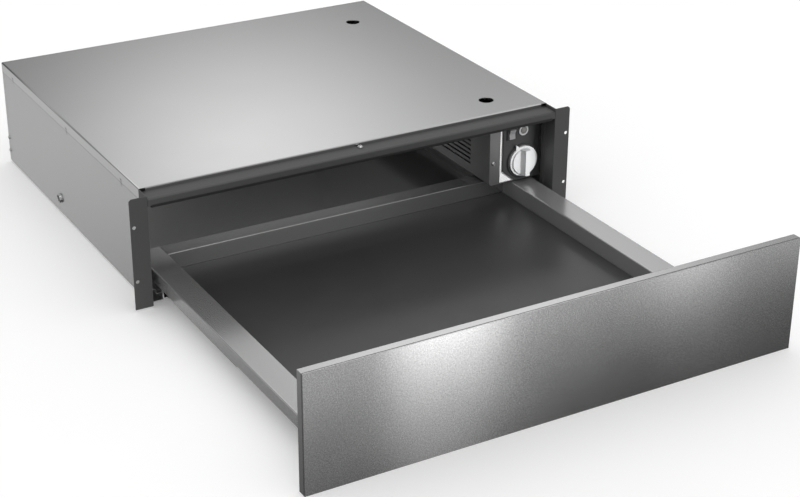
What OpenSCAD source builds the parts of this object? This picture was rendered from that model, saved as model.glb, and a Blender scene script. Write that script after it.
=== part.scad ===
// Built in warming drawer for a 560 mm wide, 140 mm high furniture niche, shown with its drawer open.
// Origin: on the niche's floor, at the middle of the case's front edge, where its sides and top cover begin.
// X runs to the right, Y into the niche, Z up. All sizes are millimetres.

/* [Case] */
// Width of the case over its side faces
case_w = 548; // [536:1:560]
// Depth of the case from its front edge
case_d = 476; // [473:1:540]
// Height of the case
case_h = 138.5; // [136:0.5:150]
// Thickness of the case sheets
sheet_t = 1; // [0.8:0.1:1.1]
// Height of the flanges folded down the sides from the top cover
cover_flange_h = 12.5; // [11:0.5:16]
// Height of the lip along the front of the top cover
cover_lip_h = 4.5; // [3.5:0.5:6]
// Length of the open notch at each end of that lip
cover_notch_w = 8; // [6:1:14]
// Depth of the flanges folded forward from the rear panel
rear_flange_d = 9; // [7:0.5:13]
// Distance the floor reaches in front of the case's front edge
floor_front = 11.3; // [8:0.1:14]
// Gap left at the seams between sheets
seam_gap = 0.3; // [0.2:0.1:0.5]
// Overlap of the joggled tabs behind the seams
tab_lap = 9; // [6:0.5:10]
// Diameter of the two round holes in the top cover
top_hole_d = 19; // [14:1:22]
// Distance of those holes from the right side face
top_hole_inset = 61.5; // [56:0.5:64]
// Distance of the front hole behind the case's front edge
top_hole_y = 44.6; // [40:0.1:60]
// Distance between the front and rear holes
top_hole_pitch = 352.3; // [300:0.1:380]
// Depth of the collars rolled down round those holes
collar_h = 3.5; // [2.5:0.5:5]
// Outside radius of the folds of the cover and the tray
fold_r = 1.6; // [1.2:0.1:1.9]
// Diameter of the round hole in each side
side_hole_d = 9; // [7:0.5:10]
// Height of the round collar that stands out round that hole
side_collar_h = 2.8; // [2:0.2:3.4]
// Distance of the side hole behind the case's front edge
side_hole_y = 277.2; // [260:0.1:300]
// Height of the side hole above the underside
side_hole_z = 19.4; // [16:0.2:24]

/* [Front flanges and rail] */
// Width of each screw flange outside the case
flange_w = 20.5; // [16:0.5:24]
// Thickness of the flanges and the rail
flange_t = 1.2; // [1:0.1:1.5]
// Height of the flanges' lower ends above the underside
flange_foot = 0.8; // [0.2:0.1:2]
// Distance of the flanges' upper ends below the top
flange_drop = 1; // [0.5:0.5:3]
// Chamfer on the outer upper corner of each flange
flange_chamfer = 2.5; // [1:0.5:5]
// Diameter of the furniture screw holes
screw_hole_d = 4.5; // [3.5:0.5:5]
// Distance of those holes from the outer edge of the flange
screw_hole_inset = 4.5; // [4:0.5:8]
// Height of the lower screw holes
screw_hole_z = 35.6; // [30:0.2:45]
// Distance between lower and upper screw holes
screw_pitch = 67; // [60:1:75]
// Depth of the front recess from the flanges to the top cover
rail_d = 20.8; // [18:0.2:24]
// Height of the rail's front face
rail_h = 9.3; // [8:0.1:9.6]
// Outside radius of the rail's front bend
rail_bend_r = 2.2; // [1.6:0.2:3]
// Height of the seal clipped to the rail's lower edge
seal_h = 3.4; // [3:0.1:3.8]
// How far the seal stands out in front of the rail
seal_proud = 0.6; // [0.3:0.1:0.7]

/* [Drawer] */
// Distance the drawer travels
travel = 414; // [380:2:420]
// Gap between flanges and panel when the drawer is shut
closed_gap = 1.2; // [1:0.1:2]
// Gap between the tray and the rear panel when the drawer is shut
tray_rear_gap = 8.2; // [6:0.2:12]
// Gap between the case's side face and the drawer wall
wall_gap = 10.7; // [9.5:0.1:13]
// Width of the drawer's hollow side walls
wall_w = 31.9; // [30:0.1:34]
// Height of the top of the drawer walls
wall_top = 35.5; // [32:0.5:35.5]
// Height of the underside of the tray
tray_z = 11.6; // [11.6:0.1:13]
// Height of the lower edge of the walls' outer faces
wall_skirt_z = 20.2; // [19.6:0.2:22]
// Thickness of the tray sheets
tray_t = 1; // [0.8:0.1:1.2]
// Depth of the hollow back wall
back_wall_d = 24; // [18:1:30]
// Thickness of the non-slip mat
mat_t = 2; // [1:0.5:3]

/* [Front panel] */
// Width of the front panel
panel_w = 595; // [592:1:600]
// Height of the front panel
panel_h = 133.5; // [130:0.5:140]
// Thickness of the front panel
panel_t = 11.3; // [10:0.1:20]
// Distance the panel reaches below the case
panel_drop = 2.5; // [0:0.5:4]
// Thickness of the steel facing plate
skin_t = 1.4; // [1:0.1:2]
// Width of the shadow groove behind the facing plate
groove_w = 0.8; // [0.5:0.1:1.2]
// Depth of the shadow groove
groove_d = 0.9; // [0.5:0.1:1.5]

/* [Slides] */
// Width of the case member of each slide
slide_w = 24; // [24:0.2:26]
// Height of the case member
slide_h = 10; // [9.6:0.1:10.2]
// Distance from the drawer wall's inner face to the middle of the slide
slide_offset = 13.6; // [13.6:0.1:14.6]
// Thickness of the slide members' webs
web_t = 1.2; // [1:0.1:1.2]
// Thickness of the case member's sides
case_member_t = 1.6; // [1.4:0.1:1.8]
// Width of the middle member
mid_w = 14.6; // [14.4:0.1:14.8]
// Thickness of the middle member's sides
mid_member_t = 2.1; // [2:0.1:2.3]
// Width of the drawer member's running bar
key_w = 6; // [5.8:0.1:6.2]
// Diameter of the balls between case and middle members
outer_ball_d = 4; // [3.8:0.1:4]
// Diameter of the balls between middle and drawer members
inner_ball_d = 3; // [2.8:0.1:3]
// Running play of each ball in its groove
ball_play = 0.1; // [0.06:0.02:0.14]
// Number of balls in each row
ball_count = 7; // [4:1:8]
// Distance between balls in a row
ball_pitch = 24; // [16:1:24]
// Clear height between nested webs and cages
nest_gap = 0.4; // [0.35:0.05:0.45]
// Length of the middle member
mid_len = 430; // [400:5:440]

/* [Fan box] */
// Width of the fan box inside the right side of the case
box_w = 76; // [74:1:80]
// Height of the underside of the fan box
box_z = 36.6; // [36.6:0.2:40]
// Distance of the fan box's front behind the case's front edge
box_y = 10; // [9.8:0.2:13]
// Width of the fan box's front strip
strip_w = 15.5; // [12:0.5:16]
// Outside radius of the fan box's lower edge
box_edge_r = 4; // [2:0.5:5]
// Number of louvres
louvre_count = 9; // [4:1:10]
// Distance between louvres
louvre_pitch = 6.1; // [5.6:0.1:6.6]
// Height of the lowest louvre
louvre_z = 50.5; // [48:0.5:56]
// Distance of the louvres' front ends behind the case's front edge
louvre_y = 55.2; // [50:0.2:70]
// Length of the louvres
louvre_len = 100; // [80:2:110]
// Height of the louvre openings
louvre_gap = 2.6; // [2:0.2:3.2]

/* [Controls] */
// Thickness of the control fascia
fascia_t = 2.5; // [2:0.1:3]
// Distance from the right side face to the knob's axis
knob_inset = 28.4; // [27:0.2:31]
// Height of the knob's axis
knob_z = 63.7; // [63:0.1:70]
// Diameter of the knob's face
knob_d = 35; // [30:1:36]
// Diameter of the knob's skirt
skirt_d = 40; // [38:1:40]
// Radius swept by the pointer's tip
pointer_r = 26; // [22:0.5:26]
// Angle of the pointer left of upright, at off
pointer_deg = 27; // [0:1:45]
// Width of the knob's grip bar along its top
grip_w = 6.5; // [6:0.5:10]
// Height of the grip bar above the knob's face
grip_h = 7.4; // [6:0.2:9]
// Diameter of the knob's shaft
shaft_d = 6; // [5:0.5:6]
// Running clearance round turning shafts
shaft_play = 0.05; // [0.03:0.01:0.08]
// Distance from the right side face to the middle of the rocker switch
switch_inset = 45.5; // [43:0.5:46]
// Height of the middle of the rocker switch
switch_z = 103; // [98:0.5:104]
// Width of the switch's frame
switch_w = 13.5; // [11:0.5:14]
// Height of the switch's frame
switch_h = 17; // [16:0.5:20]
// Angle the rocker turns through
rocker_swing = 16; // [10:1:20]
// Distance from the right side face to the pilot lamp
lamp_inset = 28; // [24:0.2:28]
// Height of the pilot lamp
lamp_z = 104.4; // [100:0.2:108]
// Diameter of the pilot lamp's rim
lamp_d = 13.6; // [10:0.2:14]

/* [Fan and heater] */
// Distance of the fan's axis behind the case's front edge
fan_y = 211; // [206:1:220]
// Height of the fan's axis
fan_z = 84; // [82:1:88]
// Diameter of the fan wheel
wheel_d = 60; // [54:1:64]
// Width of the fan wheel
wheel_w = 18; // [14:1:20]
// Number of blades
blade_count = 28; // [16:2:32]
// Outside diameter of the fan housing
scroll_d = 80; // [76:1:84]
// Width of the fan housing
scroll_w = 24; // [23:1:26]
// Side of the motor's square core
core_w = 46; // [40:1:48]
// Length of the motor's core
core_l = 16; // [12:1:18]
// Diameter of the heater's tube
tube_d = 6.4; // [5:0.2:7]
// Number of hairpin bends in the heater
bend_count = 3; // [1:2:3]
// Distance between the heater's runs
run_pitch = 14; // [12:0.5:14]

/* [Latch] */
// Diameter of the push latch's plunger
plunger_d = 7; // [6:0.2:7]
// Width of the latch's housing
latch_w = 26; // [20:1:34]
// Length of the latch's housing
latch_l = 30; // [26:1:34]
// Distance from the rear panel to the latch's housing
latch_back = 4; // [2:1:6]

/* [Hidden] */
$fn = 48;
// Overrun of every cut past the face it leaves
over = sheet_t;

// Places worked out from the case
side_x = case_w / 2;
side_in = side_x - sheet_t;
cover_z = case_h - sheet_t;
seam_z = case_h - cover_flange_h;
rear_in = case_d - sheet_t;
side_back = case_d - rear_flange_d - seam_gap;
flange_x = side_x + flange_w;
flange_top = case_h - flange_drop;
rail_top = case_h - cover_lip_h;
rail_low = rail_top - rail_h;
rail_end = side_x - flange_t - seam_gap;
flange_y = -rail_d;
front_y = flange_y - flange_t;

// Places worked out from the drawer
wall_out = side_x - wall_gap;
wall_in = wall_out - wall_w;
panel_back = front_y - closed_gap - travel;
panel_front = panel_back - panel_t;
tray_back = rear_in - tray_rear_gap - travel;
back_wall_y = tray_back - back_wall_d;
mat_z = tray_z + tray_t;
slide_x = wall_in + slide_offset;

// Places worked out from the fan box
box_x = side_x - box_w;
box_in = box_x + sheet_t;
box_floor = box_z + sheet_t;
plate_y = box_y + sheet_t;
inner_y = plate_y + sheet_t;
fascia_y = plate_y - fascia_t;
fascia_top = rail_top - flange_t - seam_gap;
fascia_right = side_in - sheet_t - seam_gap;
knob_x = side_x - knob_inset;
switch_x = side_x - switch_inset;
lamp_x = side_x - lamp_inset;

// A box between two opposite corners
module block(lo, hi) {
    translate(lo) cube(hi - lo);
}

// The same thing on the right and, mirrored, on the left
module pair() {
    children();
    mirror([1, 0, 0]) children();
}

module on_left() {
    mirror([1, 0, 0]) children();
}

// Outlines drawn as (y, z) and drawn out along X
module along_x(x0, x1) {
    translate([x0, 0, 0]) rotate([90, 0, 90]) linear_extrude(x1 - x0) children();
}

// Outlines drawn as (x, z) and drawn out along Y
module along_y(y0, y1) {
    translate([0, y1, 0]) rotate([90, 0, 0]) linear_extrude(y1 - y0) children();
}

// Round bars from a point along X, Y or up
module rod_x(p, d, l) {
    translate(p) rotate([0, 90, 0]) cylinder(d = d, h = l);
}

module rod_y(p, d, l) {
    translate(p) rotate([-90, 0, 0]) cylinder(d = d, h = l);
}

// Rectangle whose first corner is rounded
module one_round(w, h, r) {
    translate([r, 0]) square([w - r, h]);
    translate([0, r]) square([w, h - r]);
    translate([r, r]) circle(r);
}

// Folded channel, open below: its two upper folds have outside radius r
module folded_channel(w, h, r, t) {
    difference() {
        union() {
            square([w, h - r]);
            translate([r, 0]) square([w - r * 2, h]);
            for (x = [r, w - r]) {
                translate([x, h - r]) circle(r);
            }
        }
        translate([t, -over]) square([w - t * 2, h - t + over]);
    }
}

// Folded angle: both legs start at a corner of outside radius r
module folded_angle(w, h, r, t) {
    difference() {
        one_round(w, h, r);
        translate([t, t]) one_round(w, h, r - t);
    }
}

// Screw head with a domed top and a cross recess, standing on Z = 0
module screw_head(d) {
    difference() {
        union() {
            cylinder(d = d, h = d * 0.2);
            translate([0, 0, d * 0.2]) cylinder(d1 = d, d2 = d * 0.6, h = d * 0.18);
        }
        for (a = [0, 90]) {
            rotate(a) translate([-d * 0.28, -d * 0.07, d * 0.2]) cube([d * 0.56, d * 0.14, d]);
        }
    }
}

// L shaped slits that lock the cover's flange to the side
lance_h = 8.5;
lance_w = 1.4;
lance_flag = 3.6;
lance_y = [52.5, case_d * 0.4866, case_d - 44.7];

module lances() {
    for (y = lance_y) {
        block([side_in - sheet_t - over, y, seam_z - lance_h / 2], [side_x + over, y + lance_w, seam_z + lance_h / 2]);
        block(
            [side_in - sheet_t - over, y, seam_z + lance_h / 2 - lance_w],
            [side_x + over, y + lance_flag, seam_z + lance_h / 2]
        );
    }
}

module side_sheet() {
    difference() {
        union() {
            block([side_in, 0, 0], [side_x, side_back, seam_z - seam_gap]);
            block([side_in - sheet_t, tab_lap, seam_z - seam_gap - sheet_t * 2], [side_in, side_back, seam_z + tab_lap]);
            rod_x([side_in, side_hole_y, side_hole_z], side_hole_d + sheet_t * 3, sheet_t + side_collar_h);
        }
        rod_x([side_in - over, side_hole_y, side_hole_z], side_hole_d, sheet_t + side_collar_h + over * 2);
        lances();
    }
}

module base_shell() {
    color("silver") {
        block([-side_x + flange_t, -floor_front, 0], [side_x - flange_t, over, sheet_t]);
        block([-side_x, 0, 0], [side_x, side_back, sheet_t]);
        block([-side_in, side_back - over, 0], [side_in, rear_in, sheet_t]);
        pair() side_sheet();
    }
}

module cover_collars() {
    for (i = [0, 1]) {
        translate([side_x - top_hole_inset, top_hole_y + i * top_hole_pitch, case_h - collar_h]) children();
    }
}

module top_cover() {
    color("gainsboro") difference() {
        union() {
            along_y(0, case_d) translate([-side_x, seam_z]) folded_channel(case_w, case_h - seam_z, fold_r, sheet_t);
            block(
                [cover_notch_w - side_x, 0, rail_top],
                [side_x - cover_notch_w, sheet_t, case_h]
            );
            cover_collars() cylinder(d = top_hole_d + sheet_t * 2, h = collar_h - sheet_t / 2);
        }
        along_x(cover_notch_w - side_x, side_x - cover_notch_w) difference() {
            translate([-over, case_h - fold_r]) square([fold_r + over, fold_r + over]);
            translate([fold_r, case_h - fold_r]) circle(fold_r);
        }
        cover_collars() translate([0, 0, -over]) cylinder(d = top_hole_d, h = collar_h + over * 2);
        pair() lances();
    }
}

// Vents and cable outlet of the rear panel, at the fan box
vent_count = 8;
vent_w = 3.5;
vent_h = 30;
vent_pitch = 7.4;
vent_z = 50;
gland_d = 16;
gland_x = side_x - box_w * 0.5;
gland_z = case_h * 0.77;

module rear_panel() {
    color("silver") difference() {
        union() {
            block([-side_x, rear_in, 0], [side_x, case_d, seam_z - seam_gap]);
            block([-side_in, rear_in, 0], [side_in, case_d, cover_z]);
            pair() {
                block([side_in, side_back + seam_gap, 0], [side_x, case_d, seam_z - seam_gap]);
                block(
                    [side_in - sheet_t, side_back - tab_lap, box_floor + sheet_t],
                    [side_in, side_back + seam_gap + sheet_t * 2, seam_z - seam_gap - sheet_t * 3]
                );
            }
        }
        for (i = [0 : vent_count - 1]) {
            x = box_x + box_w / 2 + (i - (vent_count - 1) / 2) * vent_pitch;
            block([x - vent_w / 2, rear_in - over, vent_z], [x + vent_w / 2, case_d + over, vent_z + vent_h]);
        }
        rod_y([gland_x, rear_in - over, gland_z], gland_d, sheet_t + over * 2);
    }
}

// Screw flange, its return to the case and the tab behind the case's side
module flange_post() {
    color("dimgray") difference() {
        union() {
            along_y(front_y, flange_y) polygon([
                [side_x - flange_t, flange_foot],
                [flange_x, flange_foot],
                [flange_x, flange_top - flange_chamfer],
                [flange_x - flange_chamfer, flange_top],
                [side_x - flange_t, flange_top]
            ]);
            block([side_x - flange_t, front_y, flange_foot], [side_x, -seam_gap, flange_top]);
            block(
                [side_in - flange_t, -seam_gap - flange_t, sheet_t + seam_gap],
                [side_in, tab_lap * 0.6, rail_low - tab_lap]
            );
        }
        for (i = [0, 1]) {
            rod_y([flange_x - screw_hole_inset, front_y - over, screw_hole_z + i * screw_pitch],
                screw_hole_d, flange_t + over * 2);
        }
    }
}

// Folded rail between the flanges' returns: top leg under the cover's lip, front leg and lower return
rail_back = tab_lap * 0.9;
rail_return_d = 5;

module top_rail() {
    color("dimgray") along_x(-rail_end, rail_end) {
        translate([front_y, rail_top]) mirror([0, 1]) folded_angle(rail_back - front_y, rail_h, rail_bend_r, flange_t);
        translate([front_y, rail_low]) square([rail_return_d, flange_t]);
    }
}

// Edge seal: a lip up the front of the rail and a bead under its return
seal_lap_share = 0.42;
module rail_seal() {
    foot = seal_h * (1 - seal_lap_share);
    color("black") along_x(-rail_end + tab_lap / 2, rail_end - tab_lap / 2) {
        translate([front_y - seal_proud, rail_low - foot]) {
            translate([0, foot / 2]) square([seal_proud, seal_h - foot / 2 - seal_proud / 2]);
            translate([seal_proud / 2, seal_h - seal_proud / 2]) circle(seal_proud / 2);
            translate([foot / 2, foot / 2]) circle(foot / 2);
            translate([0, foot / 2]) square([foot / 2, foot / 2]);
            translate([foot / 2, 0]) square([rail_return_d - foot / 2, foot]);
        }
    }
}

// Fan box: partition with its rolled lower edge, its floor and the front strip
intake_rings = 3;
intake_hole_d = 4.4;
intake_ring_pitch = 8;

module box_outline(inset) {
    translate([box_x + inset, box_z + inset]) {
        one_round(side_in - box_x - inset, cover_z - box_z - inset, box_edge_r - inset);
    }
}

module louvre_cut(i) {
    z = louvre_z + i * louvre_pitch;
    block([box_x - over, louvre_y, z], [box_in + over, louvre_y + louvre_len, z + louvre_gap]);
}

// Sloping hood pressed inwards over each opening
module louvre_hood(i) {
    z = louvre_z + i * louvre_pitch;
    along_y(louvre_y, louvre_y + louvre_len) polygon([
        [box_in - sheet_t / 2, z + louvre_gap],
        [box_in - sheet_t / 2, z + louvre_gap + sheet_t * 0.8],
        [box_in + louvre_gap, z + sheet_t * 0.8],
        [box_in + louvre_gap, z]
    ]);
}

module intake_holes() {
    for (k = [0 : intake_rings - 1], a = [0 : 1 : max(k * 6 - 1, 0)]) {
        rotate([a * 360 / max(k * 6, 1), 0, 0]) {
            rod_x([-over, 0, k * intake_ring_pitch], intake_hole_d, sheet_t + over * 2);
        }
    }
}

module fan_box() {
    color("dimgray") {
        difference() {
            union() {
                along_y(plate_y, rear_in) difference() {
                    box_outline(0);
                    box_outline(sheet_t);
                }
                along_y(box_y, plate_y) intersection() {
                    box_outline(0);
                    translate([box_x, box_z]) square([strip_w, fascia_top - box_z]);
                }
            }
            for (i = [0 : louvre_count - 1]) {
                louvre_cut(i);
            }
            translate([box_x, fan_y, fan_z]) intake_holes();
            rod_y([strip_screw_x, box_y - over, strip_screw_z], strip_screw_d * 0.5, sheet_t + over * 2);
        }
        for (i = [0 : louvre_count - 1]) {
            louvre_hood(i);
        }
    }
}

// Steel carrier plate behind the fascia
bush_d = 10;
switch_cut_w = switch_w * 0.46;
switch_cut_h = switch_h * 0.48;
module control_plate() {
    color("whitesmoke") difference() {
        block([box_in, plate_y, box_floor], [fascia_right, inner_y, fascia_top]);
        rod_y([knob_x, plate_y - over, knob_z], bush_d + seam_gap, sheet_t + over * 2);
        block(
            [switch_x - switch_cut_w, plate_y - over, switch_z - switch_cut_h],
            [switch_x + switch_cut_w, inner_y + over, switch_z + switch_cut_h]
        );
        rod_y([lamp_x, plate_y - over, lamp_z], lamp_d * 0.8, sheet_t + over * 2);
        rod_y([strip_screw_x, plate_y - over, strip_screw_z], strip_screw_d * 0.5, sheet_t + over * 2);
    }
}

// Moulded fascia: bare plate shows at its left and at its cut-off lower corner, ring round the knob
plate_show = 3.4;
fascia_left = box_x + strip_w + plate_show;
fascia_cut_w = 18;
fascia_cut_h = 15;
ring_t = 2;
ring_h = 2;
ring_d = skirt_d + seam_gap * 4;

module control_fascia() {
    color("darkslategray") difference() {
        union() {
            along_y(fascia_y, plate_y) polygon([
                [fascia_left, box_floor + fascia_cut_h],
                [fascia_left + fascia_cut_w, box_floor],
                [fascia_right, box_floor],
                [fascia_right, fascia_top],
                [fascia_left, fascia_top]
            ]);
            rod_y([knob_x, fascia_y - ring_h, knob_z], ring_d + ring_t * 2, ring_h + fascia_t / 2);
        }
        rod_y([knob_x, fascia_y - ring_h - over, knob_z], ring_d, ring_h + over);
        rod_y([knob_x, fascia_y - over, knob_z], bush_d + seam_gap * 2, fascia_t + over * 2);
        block(
            [switch_x - switch_cut_w, fascia_y - over, switch_z - switch_cut_h],
            [switch_x + switch_cut_w, plate_y + over, switch_z + switch_cut_h]
        );
        rod_y([lamp_x, fascia_y - over, lamp_z], lamp_d * 0.8, fascia_t + over * 2);
    }
}

// Knob: skirt with its pointer, face and grip bar
knob_clear = 0.4;
skirt_t = 3.9;
face_t = 2.2;
skirt_back = fascia_y - knob_clear;
skirt_front = skirt_back - skirt_t;
face_y = skirt_front - face_t;
grip_y = face_y - grip_h;
grip_foot_w = grip_w * 1.8;
pointer_t = skirt_t * 0.42;

module temperature_knob() {
    color("lightgray") translate([knob_x, 0, knob_z]) difference() {
        union() {
            rod_y([0, skirt_front, 0], skirt_d, skirt_t);
            translate([0, skirt_front, 0]) rotate([90, 0, 0]) cylinder(d1 = knob_d, d2 = knob_d - face_t * 0.6, h = face_t);
            intersection() {
                translate([0, 0, -knob_d * 0.52]) linear_extrude(knob_d * 1.04) polygon([
                    [-grip_foot_w / 2, face_y + face_t],
                    [-grip_foot_w / 2, face_y],
                    [-grip_w / 2, grip_y],
                    [grip_w / 2, grip_y],
                    [grip_foot_w / 2, face_y],
                    [grip_foot_w / 2, face_y + face_t]
                ]);
                translate([0, face_y + face_t, 0]) rotate([90, 0, 0]) {
                    cylinder(d1 = knob_d * 1.03, d2 = knob_d * 0.98, h = face_t + grip_h);
                }
            }
            rotate([0, -pointer_deg, 0]) along_y(skirt_front, skirt_front + pointer_t) polygon([
                [-grip_w * 0.6, skirt_d * 0.46],
                [0, pointer_r],
                [grip_w * 0.6, skirt_d * 0.46]
            ]);
        }
        rod_y([0, face_y, 0], shaft_d + shaft_play, skirt_t + face_t + over);
        rod_y([0, skirt_back - skirt_t * 0.6, 0], bush_d + seam_gap * 4, skirt_t);
    }
}

shaft_len = 24;
module thermostat_shaft() {
    color("silver") rod_y([knob_x, face_y, knob_z], shaft_d, shaft_len);
}

// Thermostat: threaded bush, metal body and spade terminals
thermo_w = 36;
thermo_d = 24;
spade_w = 6.3;
spade_l = 8;
module thermostat_body() {
    color("silver") translate([knob_x, inner_y, knob_z]) difference() {
        union() {
            rod_y([0, -sheet_t - fascia_t * 0.8, 0], bush_d, thermo_d / 2);
            block([-thermo_w / 2, 0, -thermo_w * 0.4], [thermo_w / 2, thermo_d, thermo_w * 0.4]);
            rod_y([0, thermo_d, 0], thermo_w * 0.6, thermo_d * 0.15);
            for (s = [-1, 1]) {
                translate([s * thermo_w * 0.35, thermo_d, 0]) {
                    block([-sheet_t / 2, 0, -spade_w / 2], [sheet_t / 2, spade_l, spade_w / 2]);
                }
            }
        }
        rod_y([0, -sheet_t - fascia_t - over, 0], shaft_d + shaft_play * 2, shaft_len);
    }
}

// Sensor bulb clipped behind the louvres, with its capillary running back to the thermostat
bulb_d = 5;
bulb_l = 62;
capillary_d = 1.6;
bulb_x = box_in + louvre_gap + bulb_d;
bulb_y = louvre_y + louvre_len * 0.3;
bulb_z = louvre_z - bulb_d * 0.9;
capillary_x = knob_x - thermo_w / 2 + capillary_d;
capillary_y = inner_y + thermo_d;
module thermostat_sensor() {
    color("peru") {
        rod_y([bulb_x, bulb_y, bulb_z], bulb_d, bulb_l);
        rod_y([bulb_x, capillary_y + bulb_d * 2, bulb_z], capillary_d, bulb_y - capillary_y - bulb_d);
        translate([bulb_x, capillary_y + bulb_d * 2, bulb_z]) sphere(d = capillary_d);
        rod_x([bulb_x, capillary_y + bulb_d * 2, bulb_z], capillary_d, capillary_x - bulb_x);
        translate([capillary_x, capillary_y + bulb_d * 2, bulb_z]) sphere(d = capillary_d);
        translate([capillary_x, capillary_y + bulb_d * 2, bulb_z]) cylinder(d = capillary_d, h = knob_z - bulb_z);
        translate([capillary_x, capillary_y + bulb_d * 2, knob_z]) sphere(d = capillary_d);
        rod_y([capillary_x, capillary_y, knob_z], capillary_d, bulb_d * 2);
        for (s = [0.15, 0.85]) {
            block(
                [box_in, bulb_y + bulb_l * s, bulb_z - bulb_d / 2],
                [bulb_x, bulb_y + bulb_l * s + bulb_d, bulb_z + bulb_d * 0.2]
            );
        }
    }
}

// Rocker switch: frame and body with a pivoted rocker in it
switch_wall = 1.6;
switch_bezel_t = 1.4;
switch_depth = 20;
pivot_d = 2.4;
pivot_y = fascia_y + fascia_t * 0.6;
rocker_w = switch_w - switch_wall * 3.2;
rocker_h = switch_h - switch_wall * 2.2;
rocker_proud = 3.4;
module switch_body() {
    color("black") difference() {
        union() {
            block(
                [switch_x - switch_w / 2, fascia_y - switch_bezel_t, switch_z - switch_h / 2],
                [switch_x + switch_w / 2, fascia_y, switch_z + switch_h / 2]
            );
            block(
                [switch_x - switch_w * 0.44, fascia_y - switch_bezel_t / 2, switch_z - switch_h * 0.46],
                [switch_x + switch_w * 0.44, fascia_y + switch_depth, switch_z + switch_h * 0.46]
            );
            for (s = [-1, 1]) {
                translate([switch_x, fascia_y + switch_depth, switch_z + s * switch_h * 0.2]) {
                    block([-spade_w / 2, 0, -sheet_t / 2], [spade_w / 2, spade_l, sheet_t / 2]);
                }
            }
        }
        block(
            [switch_x - rocker_w / 2 - seam_gap, fascia_y - switch_bezel_t - over, switch_z - rocker_h / 2 - seam_gap * 2],
            [switch_x + rocker_w / 2 + seam_gap, fascia_y + switch_depth * 0.4, switch_z + rocker_h / 2 + seam_gap * 2]
        );
        rod_x([switch_x - rocker_w / 2 - switch_wall * 0.6, pivot_y, switch_z], pivot_d + shaft_play * 2,
            rocker_w + switch_wall * 1.2);
    }
}

module switch_rocker() {
    color("gray") translate([0, pivot_y, switch_z]) rotate([rocker_swing / 2, 0, 0]) {
        along_x(switch_x - rocker_w / 2, switch_x + rocker_w / 2) difference() {
            polygon([
                [0, -rocker_h * 0.48],
                [fascia_y - switch_bezel_t - rocker_proud * 0.7 - pivot_y, -rocker_h * 0.48],
                [fascia_y - switch_bezel_t - rocker_proud * 0.2 - pivot_y, 0],
                [fascia_y - switch_bezel_t - rocker_proud * 0.7 - pivot_y, rocker_h * 0.48],
                [0, rocker_h * 0.48],
                [pivot_d * 1.2, 0]
            ]);
        }
        rod_x([switch_x - rocker_w / 2 - switch_wall * 0.5, 0, 0], pivot_d, rocker_w + switch_wall);
    }
}

// Pilot lamp: lens in a rim, body behind the plate
module pilot_lens() {
    color("orange") translate([lamp_x, fascia_y, lamp_z]) {
        intersection() {
            translate([0, lamp_d * 0.25, 0]) sphere(d = lamp_d * 0.95);
            rod_y([0, -lamp_d * 0.25, 0], lamp_d * 0.7, lamp_d * 0.25 + fascia_t);
        }
    }
}

module pilot_body() {
    color("dimgray") translate([lamp_x, fascia_y, lamp_z]) difference() {
        union() {
            rod_y([0, -switch_bezel_t, 0], lamp_d, switch_bezel_t);
            rod_y([0, -switch_bezel_t / 2, 0], lamp_d * 0.78, switch_bezel_t / 2 + fascia_t + lamp_d * 1.2);
        }
        rod_y([0, -switch_bezel_t - over, 0], lamp_d * 0.71, switch_bezel_t + over + fascia_t);
    }
}

// Fan housing: scroll with an outlet towards the louvres, open on the partition's side
scroll_x = box_in + sheet_t * 3;
scroll_t = 1.2;
outlet_h = scroll_d * 0.42;
outlet_y = fan_y - scroll_d * 0.72;
module scroll_outline(inset) {
    translate([fan_y, fan_z]) circle(d = scroll_d - inset * 2);
    translate([outlet_y - inset * 2, fan_z - scroll_d / 2 + inset]) {
        square([fan_y - outlet_y + inset * 2, outlet_h - inset * 2]);
    }
}

module fan_housing() {
    color("silver") difference() {
        union() {
            along_x(scroll_x, scroll_x + scroll_w) scroll_outline(0);
            block(
                [scroll_x, fan_y - scroll_d * 0.2, box_floor],
                [scroll_x + scroll_w, fan_y + scroll_d * 0.2, fan_z - scroll_d * 0.4]
            );
        }
        along_x(scroll_x + scroll_t, scroll_x + scroll_w - scroll_t) scroll_outline(scroll_t);
        rod_x([scroll_x - over, fan_y, fan_z], wheel_d * 0.72, scroll_t + over * 2);
        rod_x([scroll_x + scroll_w - scroll_t - over, fan_y, fan_z], bush_d, scroll_t + over * 2);
    }
}

// Centrifugal wheel: backplate, hub, forward leaning blades and a rim
wheel_x = scroll_x + scroll_w - scroll_t - (scroll_w - wheel_w) / 4;
blade_t = 0.8;
blade_l = wheel_d * 0.15;
axle_d = 4;
module fan_wheel() {
    color("gainsboro") translate([wheel_x, fan_y, fan_z]) rotate([0, -90, 0]) difference() {
        union() {
            cylinder(d = wheel_d, h = blade_t * 1.5);
            cylinder(d = axle_d * 3, h = wheel_w * 0.5);
            for (i = [0 : blade_count - 1]) {
                rotate(i * 360 / blade_count) translate([wheel_d / 2 - blade_l, 0, 0]) rotate(-22) {
                    cube([blade_l * 0.96, blade_t, wheel_w]);
                }
            }
            translate([0, 0, wheel_w - blade_t * 2]) difference() {
                cylinder(d = wheel_d, h = blade_t * 2);
                translate([0, 0, -over]) cylinder(d = wheel_d - blade_t * 6, h = blade_t * 2 + over * 2);
            }
        }
        translate([0, 0, -over]) cylinder(d = axle_d, h = wheel_w + over * 2);
    }
}

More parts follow.
